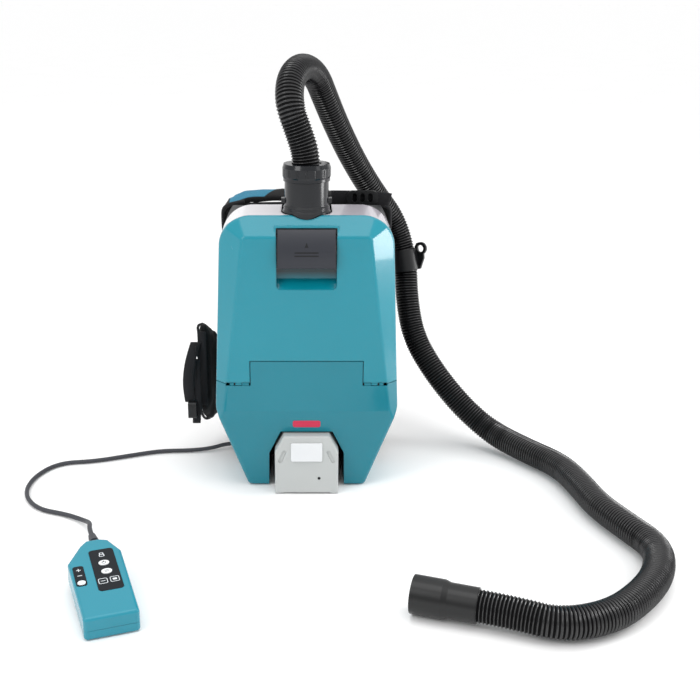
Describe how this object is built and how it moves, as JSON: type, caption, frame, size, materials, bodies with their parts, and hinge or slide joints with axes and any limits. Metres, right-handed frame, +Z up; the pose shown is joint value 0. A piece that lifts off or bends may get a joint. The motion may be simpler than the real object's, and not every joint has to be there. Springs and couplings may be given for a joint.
{
  "type": "backpack vacuum cleaner",
  "caption": "Battery backpack vacuum with hinged cover, latch, slide-in battery, motor, dust bag, harness, ribbed suction hose and corded handset with keys.",
  "frame": {"origin": "on the floor under the middle of the machine, on the battery's flat bottom", "axes": "+Z up, -Y towards the front cover (away from the wearer), +X to the right seen from the front"},
  "size_m": [0.7751, 0.6821, 0.542],
  "materials": {
    "teal_shell": "gloss",
    "rear_shell": "satin",
    "charcoal": "satin",
    "battery_grey": "satin",
    "key_white": "satin",
    "panel_dark": "gloss",
    "pin_steel": "plain",
    "hose_black": "ribbed",
    "lead_black": "smooth",
    "seal_rubber": "smooth",
    "bag_cloth": "non-woven",
    "card": "plain",
    "filter_paper": "pleated",
    "motor_can": "plain",
    "winding": "wound",
    "impeller": "plain",
    "board_green": "plain",
    "pad_black": "mesh",
    "pad_teal": "mesh",
    "webbing": "woven"
  },
  "bodies": {
    "machine": {"rear_case": "rear_shell", "lower_housing": "teal_shell", "cover_hinge_pins": "pin_steel", "bay_liner": "charcoal", "terminal_block": "charcoal", "inlet_collar": "charcoal", "inlet_seal": "seal_rubber", "bag_collar": "card", "bag_holder": "charcoal", "dust_bag": "bag_cloth", "motor_bulkhead": "charcoal", "filter_frame": "charcoal", "hepa_filter": "filter_paper", "motor_can": "motor_can", "motor_seal": "seal_rubber", "motor_stator": "winding", "shaft_bearings": "pin_steel", "controller_board": "board_green", "back_plate": "charcoal", "back_pad": "pad_black", "case_screws": "pin_steel", "shoulder_strap_left": "pad_teal", "shoulder_strap_right": "pad_black", "strap_webbing_left": "webbing", "strap_webbing_right": "webbing", "load_strap": "webbing", "ladder_lock": "charcoal", "grab_handle": "webbing", "waist_wing_left": "pad_teal", "waist_wing_right": "pad_black", "waist_webbing_left": "webbing", "waist_webbing_right": "webbing", "waist_buckle_socket": "charcoal", "waist_buckle_plug": "charcoal", "control_back": "teal_shell", "control_case": "teal_shell", "control_panel": "panel_dark", "control_board": "board_green", "hose_tube": "hose_black", "hose_cuff": "charcoal", "hose_clip": "charcoal", "cable_tube": "lead_black", "cable_gland": "lead_black", "cable_boot": "lead_black"},
    "cover": {"front_cover": "teal_shell", "cover_seal": "seal_rubber", "latch_pin": "pin_steel", "latch_spring": "pin_steel"},
    "latch": {"cover_latch": "charcoal"},
    "cuff": {"swivel_cuff": "charcoal"},
    "rotor": {"motor_shaft": "pin_steel", "impeller": "impeller"},
    "battery": {"battery_case": "battery_grey", "battery_cells": "pin_steel", "button_spring": "pin_steel"},
    "battery_release": {"battery_button": "key_white"},
    "power_key": {"power_button": "key_white"},
    "mode_key": {"mode_button": "key_white"},
    "standby_key": {"standby_button": "key_white"},
    "clip": {"belt_clip": "charcoal"}
  },
  "joints": [
    {"name": "cover_hinge", "type": "hinge", "parent": "machine", "child": "cover", "pos_m": [0, -0.0832, 0.1484], "axis": [1, 0, 0], "range_deg": [0, 75]},
    {"name": "latch_hinge", "type": "hinge", "parent": "cover", "child": "latch", "pos_m": [0, -0.077, 0.334], "axis": [-1, 0, 0], "range_deg": [0, 35], "stiffness_Nm_per_rad": 0.2, "springref_deg": -17.19},
    {"name": "cuff_swivel", "type": "hinge", "parent": "machine", "child": "cuff", "pos_m": [0, -0.036, 0.4], "axis": [0, 0, 1], "continuous": true},
    {"name": "rotor_spin", "type": "hinge", "parent": "machine", "child": "rotor", "pos_m": [0, 0.03, 0.1], "axis": [0, 0, 1], "continuous": true},
    {"name": "battery_slide", "type": "slide", "parent": "machine", "child": "battery", "axis": [0, -1, 0], "range_m": [0, 0.12]},
    {"name": "battery_release", "type": "slide", "parent": "battery", "child": "battery_release", "axis": [0, 0, -1], "range_m": [0, 0.003], "stiffness_N_per_m": 400, "springref_m": -0.002, "deforming": ["button_spring"]},
    {"name": "power_press", "type": "slide", "parent": "machine", "child": "power_key", "axis": [-0.0262, 0.074, -0.9969], "range_m": [0, 0.0009], "stiffness_N_per_m": 400, "springref_m": -0.002},
    {"name": "mode_press", "type": "slide", "parent": "machine", "child": "mode_key", "axis": [-0.0262, 0.074, -0.9969], "range_m": [0, 0.0009], "stiffness_N_per_m": 400, "springref_m": -0.002},
    {"name": "standby_press", "type": "slide", "parent": "machine", "child": "standby_key", "axis": [-0.0262, 0.074, -0.9969], "range_m": [0, 0.0009], "stiffness_N_per_m": 400, "springref_m": -0.002},
    {"name": "belt_clip_hinge", "type": "hinge", "parent": "machine", "child": "clip", "pos_m": [-0.23317, -0.29681, 0.00711], "axis": [0.9426, 0.3338, 0], "range_deg": [0, 10], "stiffness_Nm_per_rad": 0.4, "springref_deg": -11.46}
  ]
}
